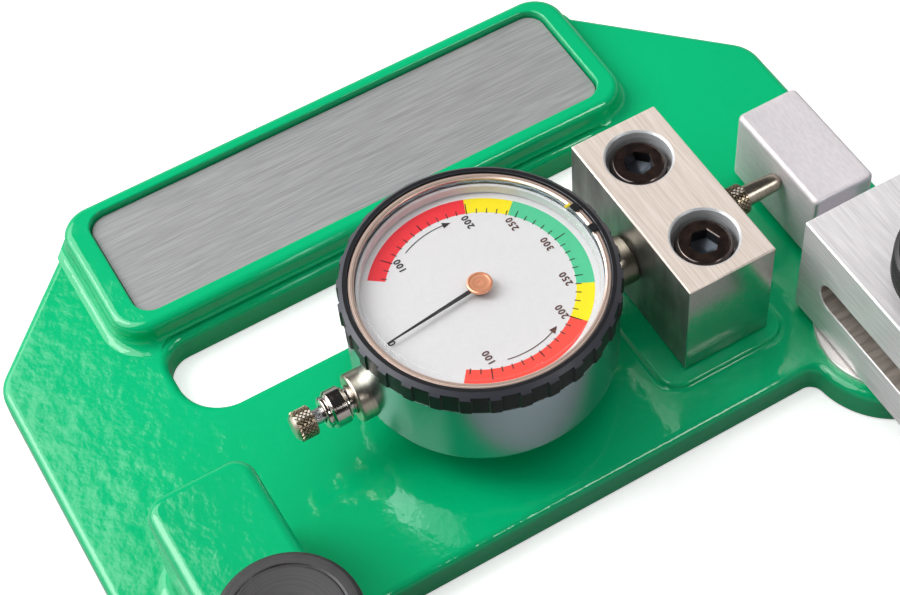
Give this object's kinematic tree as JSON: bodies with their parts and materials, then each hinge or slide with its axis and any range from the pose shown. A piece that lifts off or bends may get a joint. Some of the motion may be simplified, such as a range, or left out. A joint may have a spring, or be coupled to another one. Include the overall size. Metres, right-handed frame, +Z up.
{
  "type": "dial tension gauge",
  "caption": "Clip-on blade tension gauge: a cast frame with a dial indicator, a swinging lever that pushes its plunger, and a blade clamp at each end.",
  "frame": {"origin": "on the dial's axis, in the plane of the frame's underside", "axes": "+X along the indicator's stem towards the lever, +Y from the blade clamps towards the grip, +Z up through the dial"},
  "size_m": [0.1873, 0.1448, 0.048],
  "materials": {
    "green_enamel": "glossy powder coat with a light orange peel",
    "brushed_plate": "brushed along its length",
    "milled_aluminium": "milled, with fine tool lines",
    "tumbled_aluminium": "smooth satin with rounded edges",
    "silver_case": "satin",
    "nickel": "turned and nickel plated",
    "chrome": "polished",
    "steel": "ground",
    "black_steel": "black oxide, semi-gloss",
    "black_plastic": "satin",
    "brass": "satin",
    "bronze": "sintered, oiled",
    "copper": "satin, copper coloured",
    "dial_white": "printed white enamel",
    "clear_crystal": "clear",
    "marker_yellow": "glossy"
  },
  "bodies": {
    "frame": {"frame_casting": "green_enamel", "nameplate": "brushed_plate", "clamp_block": "milled_aluminium", "block_screw_back": "black_steel", "block_screw_front": "black_steel", "stem_lock_screw": "steel", "gauge_case": "silver_case", "gauge_back": "silver_case", "back_screw_1": "steel", "back_screw_2": "steel", "back_screw_3": "steel", "back_screw_4": "steel", "stem": "nickel", "rear_bush": "nickel", "rear_guide": "chrome", "return_spring": "steel", "movement_base": "brass", "movement_bridge": "brass", "bridge_pillar_1": "brass", "bridge_pillar_2": "brass", "bridge_pillar_3": "brass", "bridge_pillar_4": "brass", "pivot_bush": "bronze"},
    "bezel": {"bezel": "black_plastic", "dial_carrier": "silver_case", "dial_face": "dial_white", "spacer_ring": "dial_white", "crystal": "clear_crystal", "crystal_ring": "copper", "tolerance_marker_1": "marker_yellow", "tolerance_marker_2": "marker_yellow"},
    "lever": {"jaw_block": "milled_aluminium", "lever_arm": "tumbled_aluminium", "arm_screw_1": "steel", "arm_screw_2": "steel", "pivot_pin": "steel", "pivot_washer": "steel", "pivot_screw": "steel"},
    "plunger": {"plunger": "steel", "contact_tip": "nickel", "lift_cap": "nickel"},
    "rack_wheel": {"rack_pinion": "steel", "drive_wheel": "brass"},
    "centre": {"centre_pinion": "steel", "pointer": "black_plastic", "pointer_hub": "copper"},
    "take_up": {"take_up_wheel": "brass", "take_up_arbor": "steel", "hairspring": "steel"},
    "left_pad": {"left_pressure_pad": "steel"},
    "left_screw": {"left_spindle": "steel", "left_knob": "black_plastic"},
    "right_pad": {"right_pressure_pad": "steel"},
    "right_screw": {"right_spindle": "steel", "right_knob": "black_plastic"}
  },
  "joints": [
    {"name": "lever_swing", "type": "hinge", "parent": "frame", "child": "lever", "pos_m": [0.0775, -0.0347, 0.0088], "axis": [0, 0, 1], "range_deg": [0, 3.3], "stiffness_Nm_per_rad": 0.0722, "springref_deg": -19.82},
    {"name": "plunger_slide", "type": "slide", "parent": "frame", "child": "plunger", "axis": [-1, 0, 0], "range_m": [0, 0.002], "deforming": ["return_spring"]},
    {"name": "rack_wheel_turn", "type": "hinge", "parent": "frame", "child": "rack_wheel", "pos_m": [0.01053, -0.00319, 0.0295], "axis": [0, 0, 1], "range_deg": [0, 72]},
    {"name": "pointer_turn", "type": "hinge", "parent": "frame", "child": "centre", "pos_m": [0, 0, 0.0295], "axis": [0, 0, -1], "range_deg": [0, 720]},
    {"name": "take_up_turn", "type": "hinge", "parent": "frame", "child": "take_up", "pos_m": [-0.01053, 0.00319, 0.0295], "axis": [0, 0, 1], "range_deg": [0, 72]},
    {"name": "bezel_turn", "type": "hinge", "parent": "frame", "child": "bezel", "pos_m": [0, 0, 0.0364], "axis": [0, 0, 1], "continuous": true},
    {"name": "left_clamp_slide", "type": "slide", "parent": "frame", "child": "left_pad", "axis": [0, 0, -1], "range_m": [0, 0.0033]},
    {"name": "left_clamp_turn", "type": "hinge", "parent": "left_pad", "child": "left_screw", "pos_m": [-0.0662, -0.0487, 0.0404], "axis": [0, 0, -1], "range_deg": [0, 950]},
    {"name": "right_clamp_slide", "type": "slide", "parent": "lever", "child": "right_pad", "axis": [0, 0, -1], "range_m": [0, 0.0033]},
    {"name": "right_clamp_turn", "type": "hinge", "parent": "right_pad", "child": "right_screw", "pos_m": [0.0789, -0.0487, 0.0404], "axis": [0, 0, -1], "range_deg": [0, 950]}
  ],
  "couplings": [
    {"joint": "plunger_slide", "follows": "lever_swing", "m_per_rad": 0.0347},
    {"joint": "rack_wheel_turn", "follows": "lever_swing", "ratio": 21.803},
    {"joint": "pointer_turn", "follows": "lever_swing", "ratio": 218.03},
    {"joint": "take_up_turn", "follows": "lever_swing", "ratio": 21.803},
    {"joint": "left_clamp_slide", "follows": "left_clamp_turn", "m_per_rad": 0.00019894},
    {"joint": "right_clamp_slide", "follows": "right_clamp_turn", "m_per_rad": 0.00019894}
  ]
}
